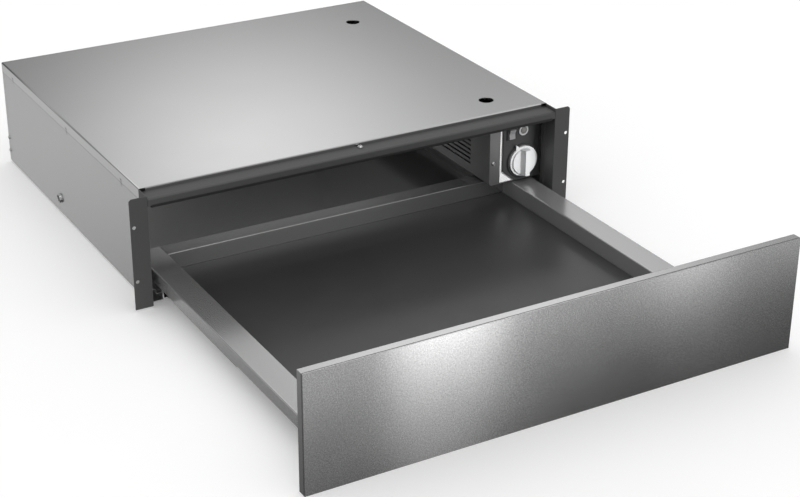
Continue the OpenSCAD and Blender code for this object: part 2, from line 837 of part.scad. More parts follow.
// Motor: laminated core, coil beside the rotor's tunnel and two bearing bridges
motor_x = scroll_x + scroll_w;
core_x = motor_x + core_l * 0.3;
rotor_d = core_w * 0.5;
bridge_t = 2;
module fan_motor() {
    color("darkgray") difference() {
        union() {
            block([core_x, fan_y - core_w / 2, fan_z - core_w * 0.55], [core_x + core_l, fan_y + core_w / 2, fan_z + core_w * 0.45]);
            along_y(fan_y - core_w * 0.3, fan_y + core_w * 0.3) translate([core_x - core_l * 0.25, fan_z + core_w * 0.33]) {
                square([core_l * 1.5, core_w * 0.3]);
            }
            for (s = [0, 1]) {
                translate([s == 0 ? motor_x : core_x + core_l, 0, 0]) block(
                    [0, fan_y - core_w * 0.4, fan_z - axle_d * 1.5],
                    [s == 0 ? core_l * 0.3 : bridge_t, fan_y + core_w * 0.4, fan_z + axle_d * 1.5]
                );
            }
        }
        rod_x([core_x, fan_y, fan_z], rotor_d, core_l);
        rod_x([motor_x - over, fan_y, fan_z], axle_d + shaft_play * 2, core_l * 2 + bridge_t);
    }
}

module motor_shaft() {
    color("silver") {
        rod_x([wheel_x - wheel_w * 0.5, fan_y, fan_z], axle_d, core_x + core_l + bridge_t - wheel_x + wheel_w * 0.5);
        rod_x([core_x + core_l * 0.06, fan_y, fan_z], rotor_d - seam_gap * 2, core_l * 0.88);
    }
}

// Tubular heater: hairpin bends in the airflow between fan outlet and louvres, on a foot plate
heater_x = box_in + louvre_gap + tube_d * 2.2;
heater_y0 = louvre_y + louvre_len * 0.2;
heater_y1 = louvre_y + louvre_len * 0.75;
heater_z = box_floor + tube_d * 2.2;
foot_t = 1.5;
module half_ring(r, d) {
    rotate_extrude(angle = 180) translate([r, 0]) circle(d = d);
}

module heater_element() {
    color("dimgray") {
        for (i = [0 : bend_count]) {
            rod_y([heater_x, heater_y0, heater_z + i * run_pitch], tube_d, heater_y1 - heater_y0);
        }
        for (i = [0 : bend_count - 1]) {
            y = i % 2 == 0 ? heater_y1 : heater_y0;
            translate([heater_x, y, heater_z + (i + 0.5) * run_pitch]) {
                rotate([0, 90, 0]) rotate(i % 2 == 0 ? 0 : 180) half_ring(run_pitch / 2, tube_d);
            }
        }
        for (s = [0.2, 0.8]) {
            y = heater_y0 + (heater_y1 - heater_y0) * s;
            block([heater_x - tube_d / 4, y, box_floor], [heater_x + tube_d / 4, y + foot_t * 2, heater_z + bend_count * run_pitch]);
            block([heater_x - tube_d, y, box_floor], [heater_x + tube_d, y + foot_t * 4, box_floor + foot_t]);
        }
    }
}

// Safety cut-out: round can on a strap, on the fan housing's outlet
cutout_d = 16;
cutout_h = 9;
module thermal_cutout() {
    color("beige") translate([scroll_x + scroll_w / 2, outlet_y + cutout_d * 0.52, fan_z - scroll_d / 2 + outlet_h]) {
        cylinder(d = cutout_d, h = cutout_h);
        for (s = [-1, 1]) {
            block([-spade_w / 2, s * cutout_d * 0.3 - sheet_t / 2, 0], [spade_w / 2, s * cutout_d * 0.3 + sheet_t / 2, cutout_h + spade_l]);
        }
        translate([-cutout_d * 0.7, -cutout_d * 0.4, 0]) cube([cutout_d * 1.4, cutout_d * 0.8, sheet_t]);
    }
}

// Terminal block on the fan box's floor near the rear panel
pole_count = 3;
pole_w = 12;
pole_h = 20;
pole_d = 26;
terminal_x = box_x + box_w * 0.3;
terminal_y = rear_in - pole_d * 2.4;
module terminal_block() {
    color("ivory") translate([terminal_x, terminal_y, box_floor]) difference() {
        union() {
            for (i = [0 : pole_count - 1]) {
                translate([i * pole_w, 0, 0]) block([0, 0, 0], [pole_w * 0.9, pole_d, pole_h]);
            }
            block([0, pole_d * 0.3, 0], [pole_w * (pole_count - 0.1), pole_d * 0.7, pole_h * 0.6]);
        }
        for (i = [0 : pole_count - 1], s = [0.22, 0.78]) {
            translate([(i + 0.45) * pole_w, pole_d * s, pole_h * 0.7]) cylinder(d = pole_w * 0.5, h = pole_h);
        }
    }
}

// Strain relief for the supply lead, in the rear panel
gland_flange_d = gland_d * 1.45;
gland_out = 7;
lead_d = 8;
module cable_gland() {
    color("black") difference() {
        union() {
            rod_y([gland_x, rear_in, gland_z], gland_d - seam_gap / 3, sheet_t);
            rod_y([gland_x, case_d, gland_z], gland_flange_d, gland_out * 0.3);
            translate([gland_x, case_d + gland_out * 0.3, gland_z]) rotate([-90, 0, 0]) {
                cylinder(d1 = gland_d * 1.1, d2 = lead_d * 1.5, h = gland_out * 0.7);
            }
            rod_y([gland_x, rear_in - gland_out * 0.6, gland_z], gland_flange_d, gland_out * 0.6);
        }
        rod_y([gland_x, rear_in - gland_out, gland_z], lead_d, gland_out * 3);
    }
}

// Telescopic ball slides, drawn round the middle of the right one.
// Heights above the floor sheet: case web, outer cage, middle web, inner cage, drawer member.
cage_t = 0.4;
case_web_top = web_t;
outer_cage_z = case_web_top + nest_gap;
mid_z = outer_cage_z + cage_t + nest_gap;
inner_cage_z = mid_z + web_t + nest_gap;
key_z = inner_cage_z + cage_t + nest_gap;
case_in = slide_w / 2 - case_member_t;
mid_out = mid_w / 2;
mid_in = mid_out - mid_member_t;
outer_row = (case_in + mid_out) / 2;
inner_row = (mid_in + key_w / 2) / 2;
ball_z = slide_h * 0.64;
key_top = slide_h - nest_gap * 2.5;
neck_w = 3.2;
neck_top = tray_z + web_t - sheet_t + nest_gap;
shelf_w = 18;
case_slide_y = seam_gap - floor_front;
case_slide_l = rear_in - case_slide_y - tab_lap * 2.9;
// Places at rest: where each piece lies when shut, less its share of the travel
mid_share = 1 / 2;
outer_cage_share = mid_share / 2;
inner_cage_share = (1 + mid_share) / 2;
cage_l = (ball_count - 1) * ball_pitch + outer_ball_d * 3;
mid_y = tab_lap * 0.7 - travel * mid_share;
outer_cage_y = case_slide_y + cage_l * 0.08;
inner_cage_y = back_wall_y - cage_l;
key_y = panel_back + panel_t * 0.3;

module slide_frame() {
    translate([slide_x, 0, sheet_t]) children();
}

module row_grooves(row, d, y0, l) {
    for (s = [-1, 1]) {
        rod_y([s * row, y0 - over, ball_z], d + ball_play * 2, l + over * 2);
    }
}

module case_slide() {
    color("silver") slide_frame() difference() {
        block([-slide_w / 2, case_slide_y, 0], [slide_w / 2, case_slide_y + case_slide_l, slide_h]);
        block([-case_in, case_slide_y - over, web_t], [case_in, case_slide_y + case_slide_l + over, slide_h + over]);
        row_grooves(outer_row, outer_ball_d, case_slide_y, case_slide_l);
        for (s = [0.2, 0.5, 0.8]) {
            translate([0, case_slide_y + case_slide_l * s, -over]) cylinder(d = outer_ball_d, h = web_t + over * 2);
        }
    }
}

module mid_slide() {
    color("silver") slide_frame() difference() {
        block([-mid_out, mid_y, mid_z], [mid_out, mid_y + mid_len, slide_h - nest_gap * 2]);
        block([-mid_in, mid_y - over, mid_z + web_t], [mid_in, mid_y + mid_len + over, slide_h]);
        row_grooves(outer_row, outer_ball_d, mid_y, mid_len);
        row_grooves(inner_row, inner_ball_d, mid_y, mid_len);
    }
}

module drawer_slide() {
    l = tray_back - key_y;
    color("silver") slide_frame() difference() {
        union() {
            block([-key_w / 2, key_y, key_z], [key_w / 2, key_y + l, key_top]);
            block([-neck_w / 2, key_y, key_top - over / 2], [neck_w / 2, key_y + l, neck_top]);
            block([-shelf_w / 2, key_y, neck_top], [shelf_w / 2, key_y + l, neck_top + web_t]);
        }
        row_grooves(inner_row, inner_ball_d, key_y, l);
    }
}

// Ball cage: thin channel whose sides hold the balls of both rows in round pockets
module ball_cage(row, d, z, y0, side_t) {
    slide_frame() {
        color("goldenrod") difference() {
            union() {
                block([-row - side_t / 2, y0, z], [row + side_t / 2, y0 + cage_l, z + cage_t]);
                for (s = [-1, 1]) {
                    block([s * row - side_t / 2, y0, z], [s * row + side_t / 2, y0 + cage_l, slide_h - nest_gap * 2]);
                }
            }
            for (i = [0 : ball_count - 1], s = [-1, 1]) {
                rod_x([s * row - side_t, y0 + outer_ball_d * 1.5 + i * ball_pitch, ball_z], d + ball_play * 2, side_t * 2);
            }
        }
        color("silver") for (i = [0 : ball_count - 1], s = [-1, 1]) {
            translate([s * row, y0 + outer_ball_d * 1.5 + i * ball_pitch, ball_z]) sphere(d = d);
        }
    }
}

module outer_cage() {
    ball_cage(outer_row, outer_ball_d, outer_cage_z, outer_cage_y, (case_in - mid_out) * 0.3);
}

module inner_cage() {
    ball_cage(inner_row, inner_ball_d, inner_cage_z, inner_cage_y, (mid_in - key_w / 2) * 0.3);
}

// S shaped brackets that tie the case members to the case's sides: an arch, a trough and a curled edge
bracket_t = 0.8;
bracket_w = 8;
bracket_rise = 5.8;
bracket_dip = 1.8;
bracket_curl_rise = 3.2;
bracket_x = side_x - flange_t;
bracket_shares = [0, 0.52, 0.97];
module quarter_bend(r, turn) {
    rotate(turn) intersection() {
        difference() {
            circle(r);
            circle(r - bracket_t);
        }
        square([r, r]);
    }
}

module s_bracket() {
    slide_side = slide_x + slide_w / 2;
    slide_top = sheet_t + slide_h;
    r_top = (bracket_x - slide_side) * 0.265;
    r_low = bracket_dip;
    r_curl = bracket_t * 1.5;
    top = slide_top + bracket_rise;
    low = slide_top - bracket_dip;
    curl_top = slide_top + bracket_curl_rise;
    drop_x = bracket_x - r_top * 2;
    translate([bracket_x - bracket_t, slide_top]) square([bracket_t, bracket_rise - r_top]);
    for (turn = [0, 90]) {
        translate([bracket_x - r_top, top - r_top]) quarter_bend(r_top, turn);
    }
    translate([drop_x, low + r_low]) square([bracket_t, top - r_top - low - r_low]);
    translate([drop_x + bracket_t - r_low, low + r_low]) quarter_bend(r_low, 270);
    translate([slide_side + r_low, low]) square([drop_x + bracket_t - r_low * 2 - slide_side, bracket_t]);
    translate([slide_side + r_low, low + r_low]) quarter_bend(r_low, 180);
    translate([slide_side, low + r_low]) square([bracket_t, curl_top - r_curl - low - r_low]);
    translate([slide_side + r_curl, curl_top - r_curl]) quarter_bend(r_curl, 90);
    translate([slide_side + r_curl, curl_top - bracket_t]) square([r_curl / 2, bracket_t]);
}

module slide_brackets() {
    color("silver") pair() for (s = bracket_shares) {
        y = case_slide_y + (case_slide_l - bracket_w) * s;
        along_y(y, y + bracket_w) s_bracket();
    }
}

// Drawer: floor, hollow walls, back wall and mat
module drawer_floor() {
    color("silver") block([-wall_in, panel_back, tray_z], [wall_in, back_wall_y, tray_z + tray_t]);
}

wall_hem = 4;
module side_wall() {
    color("gainsboro") along_y(panel_back, tray_back) {
        difference() {
            translate([wall_in, tray_z]) folded_channel(wall_w, wall_top - tray_z, fold_r, tray_t);
            translate([wall_in + wall_w / 2, tray_z - over]) square([wall_w, wall_skirt_z - tray_z + over]);
        }
        translate([wall_out - wall_hem, wall_skirt_z]) square([wall_hem, tray_t]);
    }
}

module back_wall() {
    color("gainsboro") along_x(-wall_in, wall_in) {
        translate([back_wall_y, tray_z]) folded_channel(back_wall_d, wall_top - tray_z, fold_r, tray_t);
        translate([tray_back - wall_hem, tray_z]) square([wall_hem, tray_t]);
    }
}

mat_gap = 0.5;
module floor_mat() {
    color("dimgray") block(
        [mat_gap - wall_in, panel_back + mat_gap, mat_z],
        [wall_in - mat_gap, back_wall_y - mat_gap, mat_z + mat_t]
    );
}

// Channel inside each wall that stands on the drawer member and carries the wall's top
runner_w = 16;
runner_t = 1.2;
module runner_bracket() {
    z0 = sheet_t + neck_top + web_t;
    color("silver") along_y(panel_back + bridge_t * 3, tray_back - tab_lap * 1.45) translate([slide_x - runner_w / 2, z0]) {
        square([runner_w, runner_t]);
        square([runner_t, wall_top - tray_t - z0]);
        translate([runner_w - runner_t, 0]) square([runner_t, wall_top - tray_t - z0]);
    }
}

// Front panel: folded pan behind, facing plate in front, with a shadow groove between
pan_t = 1.2;
panel_top = panel_h - panel_drop;
skin_back = panel_front + skin_t;
module panel_frame() {
    color("gray") difference() {
        union() {
            block([-panel_w / 2, skin_back + groove_w, -panel_drop], [panel_w / 2, panel_back, panel_top]);
            block(
                [groove_d - panel_w / 2, skin_back, groove_d - panel_drop],
                [panel_w / 2 - groove_d, panel_back - pan_t, panel_top - groove_d]
            );
        }
        block(
            [groove_d + pan_t - panel_w / 2, panel_front, groove_d + pan_t - panel_drop],
            [panel_w / 2 - groove_d - pan_t, panel_back - pan_t, panel_top - groove_d - pan_t]
        );
    }
}

module front_panel() {
    color("silver") block([-panel_w / 2, panel_front, -panel_drop], [panel_w / 2, skin_back, panel_top]);
}

// Plates inside the walls' front ends, screwed to the back of the panel
module panel_brackets() {
    color("silver") pair() {
        block(
            [wall_in + tray_t, panel_back, wall_skirt_z + tray_t],
            [wall_out - tray_t, panel_back + bridge_t, wall_top - tray_t]
        );
        for (s = [0.3, 0.7]) {
            translate([wall_in + wall_w * s, panel_back + bridge_t, (wall_skirt_z + wall_top) / 2]) {
                rotate([-90, 0, 0]) screw_head(pivot_d * 2.6);
            }
        }
    }
}

// Push latch on the floor and the striker under the drawer that meets it when shut
latch_axis_z = sheet_t + plunger_d * 0.75;
latch_y = rear_in - latch_back - latch_l;
latch_top = tray_z - closed_gap / 3;
plunger_out = 7;
plunger_y = latch_y - plunger_out;
plunger_l = plunger_out + latch_l * 0.55;
striker_t = 3;
striker_gap = 0.5;
striker_y = plunger_y - striker_gap - striker_t - travel;
module latch_housing() {
    color("whitesmoke") difference() {
        union() {
            block([-latch_w / 2, latch_y, sheet_t], [latch_w / 2, latch_y + latch_l, latch_top]);
            block([-latch_w * 0.8, latch_y + latch_l * 0.3, sheet_t], [latch_w * 0.8, latch_y + latch_l * 0.7, sheet_t * 3]);
        }
        rod_y([0, latch_y - over, latch_axis_z], plunger_d + shaft_play * 3, latch_l * 0.75);
    }
}

module latch_plunger() {
    color("gray") {
        rod_y([0, plunger_y + plunger_d * 0.2, latch_axis_z], plunger_d, plunger_l - plunger_d * 0.2);
        translate([0, plunger_y + plunger_d * 0.2, latch_axis_z]) rotate([90, 0, 0]) {
            cylinder(d1 = plunger_d, d2 = plunger_d * 0.7, h = plunger_d * 0.2);
        }
    }
}

module latch_striker() {
    color("silver") {
        block([-latch_w * 0.4, striker_y, latch_axis_z - plunger_d * 0.4], [latch_w * 0.4, striker_y + striker_t, tray_z]);
        block([-latch_w * 0.4, striker_y - striker_t * 4, tray_z - tray_t * 1.2], [latch_w * 0.4, striker_y + striker_t, tray_z]);
    }
}

// Fasteners that show on the case
case_screw_d = 4.6;
case_screw_shares = [0.12, 0.265];
module case_screws() {
    color("silver") {
        pair() for (s = case_screw_shares) {
            translate([side_x, case_d - rear_flange_d / 2, seam_z * s]) rotate([0, 90, 0]) screw_head(case_screw_d);
        }
        for (s = [-0.9, -0.3, 0.3, 0.9]) {
            translate([side_x * s, case_d, cover_z - cover_flange_h * 0.6]) rotate([-90, 0, 0]) screw_head(case_screw_d);
        }
    }
}

strip_screw_d = 5.6;
strip_screw_x = box_x + strip_w * 0.36;
strip_screw_z = 66.5;
module control_screw() {
    color("silver") translate([strip_screw_x, box_y, strip_screw_z]) rotate([90, 0, 0]) {
        screw_head(strip_screw_d);
        mirror([0, 0, 1]) cylinder(d = strip_screw_d * 0.45, h = strip_screw_d);
    }
}

rail_screw_d = 7;
rail_screw_x = 5;
module rail_screw() {
    color("silver") translate([rail_screw_x, -rail_screw_d * 0.75, rail_top]) screw_head(rail_screw_d);
}

base_shell();
top_cover();
rear_panel();
on_left() flange_post();  // left_flange
flange_post();  // right_flange
top_rail();
rail_seal();
fan_box();
control_plate();
control_fascia();
temperature_knob();
thermostat_shaft();
thermostat_body();
thermostat_sensor();
switch_body();
switch_rocker();
pilot_lens();
pilot_body();
fan_housing();
fan_wheel();
fan_motor();
motor_shaft();
heater_element();
thermal_cutout();
terminal_block();
cable_gland();
on_left() case_slide();  // left_case_slide
case_slide();  // right_case_slide
on_left() mid_slide();  // left_mid_slide
mid_slide();  // right_mid_slide
on_left() drawer_slide();  // left_drawer_slide
drawer_slide();  // right_drawer_slide
on_left() outer_cage();  // left_outer_cage
outer_cage();  // right_outer_cage
on_left() inner_cage();  // left_inner_cage
inner_cage();  // right_inner_cage
slide_brackets();
drawer_floor();
on_left() side_wall();  // left_wall
side_wall();  // right_wall
back_wall();
floor_mat();
on_left() runner_bracket();  // left_runner_bracket
runner_bracket();  // right_runner_bracket
panel_frame();
front_panel();
panel_brackets();
latch_housing();
latch_plunger();
latch_striker();
case_screws();
control_screw();
rail_screw();
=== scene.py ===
"""Built in warming drawer, drawer open, in satin and brushed steel under soft studio light."""

import math

import bmesh
import bpy
from mathutils import Matrix, Vector


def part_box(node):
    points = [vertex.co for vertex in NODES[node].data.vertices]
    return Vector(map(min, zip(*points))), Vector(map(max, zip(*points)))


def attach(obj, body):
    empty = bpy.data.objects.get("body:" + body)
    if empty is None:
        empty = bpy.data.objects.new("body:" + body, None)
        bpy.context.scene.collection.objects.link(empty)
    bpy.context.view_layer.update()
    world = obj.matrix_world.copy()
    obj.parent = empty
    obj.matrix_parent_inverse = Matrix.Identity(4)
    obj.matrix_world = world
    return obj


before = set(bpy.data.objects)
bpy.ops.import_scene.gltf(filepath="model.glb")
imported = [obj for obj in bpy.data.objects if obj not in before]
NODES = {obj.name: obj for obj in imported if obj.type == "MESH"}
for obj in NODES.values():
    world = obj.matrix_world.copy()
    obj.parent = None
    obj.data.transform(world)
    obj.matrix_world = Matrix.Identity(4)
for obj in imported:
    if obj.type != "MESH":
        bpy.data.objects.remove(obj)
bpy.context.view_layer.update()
MM = 0.001


# Shader wiring: sums on sockets, and one call for every other node

# Places of a colour Mix node's sockets, three in and one out
MIX_SHARE = 0
MIX_LOW = 6
MIX_HIGH = 7
MIX_RESULT = 2


class Wire:
    """One output of a finish's nodes, used in plain sums."""

    def __init__(self, finish, socket):
        self.finish = finish
        self.socket = socket

    def _sum(self, operation, *terms):
        return self.finish.node("ShaderNodeMath", {"operation": operation}, dict(enumerate(terms)))

    def __add__(self, other):
        return self._sum("ADD", self, other)

    def __sub__(self, other):
        return self._sum("SUBTRACT", self, other)

    def __rsub__(self, other):
        return self._sum("SUBTRACT", other, self)

    def __mul__(self, other):
        return self._sum("MULTIPLY", self, other)

    def __truediv__(self, other):
        return self._sum("DIVIDE", self, other)

    def __rtruediv__(self, other):
        return self._sum("DIVIDE", other, self)

    def __pow__(self, other):
        return self._sum("POWER", self, other)

    def __rpow__(self, other):
        return self._sum("POWER", other, self)

    def __mod__(self, other):
        return self._sum("FLOORED_MODULO", self, other)

    __radd__ = __add__
    __rmul__ = __mul__

    def lower_of(self, other):
        return self._sum("MINIMUM", self, other)

    def higher_of(self, other):
        return self._sum("MAXIMUM", self, other)

    def between(self, low, high):
        """0 below low, 1 above high, smooth in between."""
        return self.finish.node("ShaderNodeMapRange", {"interpolation_type": "SMOOTHSTEP"}, {
            "Value": self, "From Min": low, "From Max": high})

    def bearing_past(self, ahead):
        """Bearing in degrees of a direction that goes this far to the right and that far ahead."""
        return self._sum("ARCTAN2", self, ahead) * math.degrees(1)

    def climb(self):
        """Height in degrees of a direction whose upward part is this."""
        return self._sum("ARCSINE", self) * math.degrees(1)


class Finish:
    """One procedural finish: its node tree and the shader that shows it."""

    def __init__(self, tree):
        self.tree = tree
        self.tree.nodes.clear()

    def node(self, kind, settings=None, inputs=None, output=0):
        made = self.tree.nodes.new(kind)
        for name, value in (settings or {}).items():
            setattr(made, name, value)
        for name, value in (inputs or {}).items():
            if isinstance(value, Wire):
                self.tree.links.new(value.socket, made.inputs[name])
            else:
                made.inputs[name].default_value = value
        return Wire(self, made.outputs[output]) if len(made.outputs) else None

    def where(self):
        """Points of the surface in the row frame."""
        return self.node("ShaderNodeTexCoord", output="Object")

    def stretched(self, scale):
        return self.node("ShaderNodeMapping", inputs={"Vector": self.where(), "Scale": scale})

    def noise(self, scale, detail=3.0, rough=0.5, vector=None):
        return self.node("ShaderNodeTexNoise", inputs={
            "Vector": vector or self.where(), "Scale": scale, "Detail": detail, "Roughness": rough})

    def grey(self, low, high, share):
        """A colour from low to high as share runs from 0 to 1."""
        return self.node("ShaderNodeMix", {"data_type": "RGBA"}, {
            MIX_SHARE: share, MIX_LOW: colour(low), MIX_HIGH: colour(high)}, output=MIX_RESULT)

    def bump(self, height, depth_mm):
        return self.node("ShaderNodeBump", inputs={
            "Height": height, "Strength": 1.0, "Distance": depth_mm * MM})

    def shade(self, **sockets):
        shader = self.node("ShaderNodeBsdfPrincipled", inputs={
            name.replace("_", " ").title(): value for name, value in sockets.items()})
        self.node("ShaderNodeOutputMaterial", inputs={"Surface": shader})


def colour(value):
    """A grey level or a colour as four numbers."""
    return (value, value, value, 1.0) if isinstance(value, (int, float)) else (*value, 1.0)


def finish(name):
    made = bpy.data.materials.new(name)
    made.use_nodes = True
    return made, Finish(made.node_tree)


# Sheet: scale of its handling marks, the grain's share of its colour, and what makes up its roughness
MARKS_SCALE = 7.0
GRAIN_SHARE = 0.75
GRAIN_ROUGHENS = 0.25
MARKS_ROUGHEN = 0.3
ROUGH_LEAST = 0.72

# Moulding: scale of its uneven gloss, how far its tone strays, and what grain and gloss add to its roughness
GLOSS_SCALE = 30.0
TONE_STRAYS = 0.08
MOULD_GRAIN_ROUGHENS = 0.12
MOULD_GLOSS_ROUGHENS = 0.10
CLEAR_COAT_ROUGH = 0.2


def steel(name, tone, rough, grain=900.0, grain_tone=0.06, grain_depth=0.04, along=(1, 1, 1), metal=1.0):
    """Stainless sheet: a rolled grain in colour, gloss and relief, and faint handling marks."""
    made, f = finish(name)
    fine = f.noise(grain, 2.0, 0.6, f.stretched(along))
    broad = f.noise(MARKS_SCALE, 3.0, 0.55)
    share = fine * GRAIN_SHARE + broad * (1 - GRAIN_SHARE)
    swing = grain_tone * 2
    f.shade(
        base_color=f.grey(tone * (1 - swing), min(tone * (1 + swing), 1.0), share),
        metallic=metal,
        roughness=fine * (rough * GRAIN_ROUGHENS) + broad * (rough * MARKS_ROUGHEN) + rough * ROUGH_LEAST,
        normal=f.bump(fine, grain_depth),
    )
    return made


def moulded(name, tone, rough, grain=1400.0, depth=0.02, metal=0.0, clear=0.0):
    """Moulded plastic or rubber: a spark-eroded grain and uneven gloss."""
    made, f = finish(name)
    fine = f.noise(grain, 3.0, 0.6)
    broad = f.noise(GLOSS_SCALE, 2.0, 0.5)
    dark = [value * (1 - TONE_STRAYS) for value in tone]
    light = [min(value * (1 + TONE_STRAYS), 1.0) for value in tone]
    even_rough = rough - (MOULD_GRAIN_ROUGHENS + MOULD_GLOSS_ROUGHENS) / 2
    f.shade(
        base_color=f.grey(dark, light, fine * 0.5 + broad * 0.5),
        metallic=metal,
        roughness=fine * MOULD_GRAIN_ROUGHENS + broad * MOULD_GLOSS_ROUGHENS + even_rough,
        coat_weight=clear,
        coat_roughness=CLEAR_COAT_ROUGH,
        normal=f.bump(fine, depth),
    )
    return made


def dress(made, *names):
    for name in names:
        slots = NODES[name].data.materials
        slots.clear()
        slots.append(made)


# Softened edges: how close points are joined in millimetres, the least fold in degrees, steps of the round
JOIN_REACH = 0.002
LEAST_FOLD = 40
EDGE_STEPS = 2


def soften(width_mm, *names):
    """Rounds sharp edges as a sheet's cut or folded edge is rounded, so that they catch the light."""
    for name in names:
        weld = NODES[name].modifiers.new("joined_faces", "WELD")
        weld.merge_threshold = JOIN_REACH * MM
        edges = NODES[name].modifiers.new("eased_edges", "BEVEL")
        edges.width = width_mm * MM
        edges.segments = EDGE_STEPS
        edges.limit_method = "ANGLE"
        edges.angle_limit = math.radians(LEAST_FOLD)
        edges.harden_normals = True
        edges.use_clamp_overlap = True


top_steel = steel("satin_top_steel", 0.62, 0.14, grain=1600, grain_tone=0.03, grain_depth=0.002)
case_steel = steel("satin_case_steel", 0.58, 0.22, grain=1600, grain_tone=0.03, grain_depth=0.002, metal=0.9)
front_steel = steel("dull_dark_front_frame", 0.086, 0.52, grain=900, metal=0.2)
inner_steel = steel("grey_fan_box_steel", 0.26, 0.34, grain=1400, grain_depth=0.01, metal=0.45)
# Near-white diffuse tone: partly the plate's bright galvanised finish, partly a painted highlight standing in
# for the bright reflection it shows
pale_steel_with_painted_sheen = steel("pale_plate_with_painted_sheen", 0.92, 0.26, grain=1400, grain_depth=0.004, metal=0.3)
drawer_steel = steel("drawer_steel", 0.50, 0.20, grain=1600, grain_tone=0.03, grain_depth=0.003, metal=0.72)
panel_steel = steel("fine_grain_panel_steel", 0.55, 0.10, grain=760, grain_tone=0.34, grain_depth=0.004)
right_wall_steel = steel("right_wall_steel", 0.50, 0.20, grain=1600, grain_tone=0.03, grain_depth=0.003,
                         metal=0.6)
back_wall_steel = steel("mirror_back_wall", 0.42, 0.13, grain=1600, grain_tone=0.03, grain_depth=0.002,
                        metal=0.81)
pan_steel = steel("panel_pan_steel", 0.60, 0.24, grain=1400, grain_depth=0.006)
slide_steel = steel("zinc_slide_steel", 0.62, 0.30, grain=500, along=(1, 0.05, 1))
screw_steel = steel("bright_screws", 0.75, 0.25)
cage_steel = steel("slide_cages", 0.5, 0.3)
# Black rubber of the rail seal; the same finish on the panel's groove cord is painted shade
black_rubber_and_groove_shade = moulded("black_seal_rubber_and_groove_shade", (0.02, 0.02, 0.02), 0.55)
mat_rubber = moulded("dark_mat_rubber", (0.050, 0.050, 0.051), 0.33, grain=1200, depth=0.03)
fascia_grey = moulded("dark_grey_fascia", (0.034, 0.034, 0.035), 0.42)
knob_silver = moulded("silver_grey_knob", (0.62, 0.625, 0.63), 0.34, metal=0.12)
switch_black = moulded("black_switch_plastic", (0.02, 0.02, 0.02), 0.35)
rocker_grey = moulded("grey_rocker_plastic", (0.20, 0.20, 0.205), 0.32)
lamp_grey = moulded("grey_lamp_rim", (0.36, 0.36, 0.365), 0.32)
lens_grey = moulded("smoked_lamp_lens", (0.16, 0.155, 0.15), 0.26, clear=0.4)
pale_ceramic = moulded("pale_ceramic", (0.72, 0.68, 0.58), 0.5)
tinned_copper = moulded("tinned_copper", (0.62, 0.60, 0.57), 0.28, metal=1.0)
dark_sheath = moulded("annealed_sheath", (0.09, 0.085, 0.08), 0.5, metal=0.7)
laminations = moulded("varnished_laminations", (0.12, 0.12, 0.13), 0.5, metal=0.5)

dress(top_steel, "top_cover")
dress(case_steel, "base_shell", "rear_panel")
dress(front_steel, "left_flange", "right_flange", "top_rail")
dress(black_rubber_and_groove_shade, "rail_seal")
dress(inner_steel, "fan_box")
dress(pale_steel_with_painted_sheen, "control_plate")
dress(fascia_grey, "control_fascia")
dress(knob_silver, "temperature_knob")
dress(screw_steel, "thermostat_shaft", "motor_shaft", "case_screws", "control_screw", "rail_screw",
      "panel_brackets")
dress(slide_steel, "thermostat_body", "fan_housing", "slide_brackets", "latch_striker", "left_runner_bracket",
      "right_runner_bracket", "left_case_slide", "right_case_slide", "left_mid_slide", "right_mid_slide",
      "left_drawer_slide", "right_drawer_slide")
dress(cage_steel, "left_outer_cage", "right_outer_cage", "left_inner_cage", "right_inner_cage")
dress(tinned_copper, "thermostat_sensor")
dress(switch_black, "switch_body", "cable_gland", "latch_housing", "latch_plunger")
dress(rocker_grey, "switch_rocker")
dress(lens_grey, "pilot_lens")
dress(lamp_grey, "pilot_body")
dress(pale_steel_with_painted_sheen, "fan_wheel")
dress(laminations, "fan_motor")
dress(dark_sheath, "heater_element")
dress(pale_ceramic, "thermal_cutout", "terminal_block")
dress(drawer_steel, "drawer_floor", "left_wall")
dress(right_wall_steel, "right_wall")
dress(back_wall_steel, "back_wall")
dress(mat_rubber, "floor_mat")
dress(pan_steel, "panel_frame")
dress(panel_steel, "front_panel")

soften(0.35, "top_cover", "base_shell", "rear_panel", "left_flange", "right_flange", "top_rail", "fan_box",
       "control_plate", "drawer_floor", "slide_brackets")
soften(0.45, "left_wall", "right_wall", "back_wall", "panel_frame", "front_panel")
soften(0.5, "control_fascia", "switch_body", "switch_rocker", "temperature_knob", "floor_mat", "rail_seal")


def place(name, data):
    """A new object in the scene that shows the data."""
    made = bpy.data.objects.new(name, data)
    bpy.context.scene.collection.objects.link(made)
    return made


# Thin dark strip of painted shade in the groove between the facing plate and its pan, standing in for the
# groove's shadow, in millimetres
SHADE_STRIP_WIDE = 0.76
SHADE_STRIP_TALL = 0.74
SHADE_STRIP_SET_BACK = 0.12
SHADE_STRIP_CLEARANCE = 0.02
SHADE_STRIP_CROWN = 0.19
SHADE_STRIP_ARC_STEPS = 5


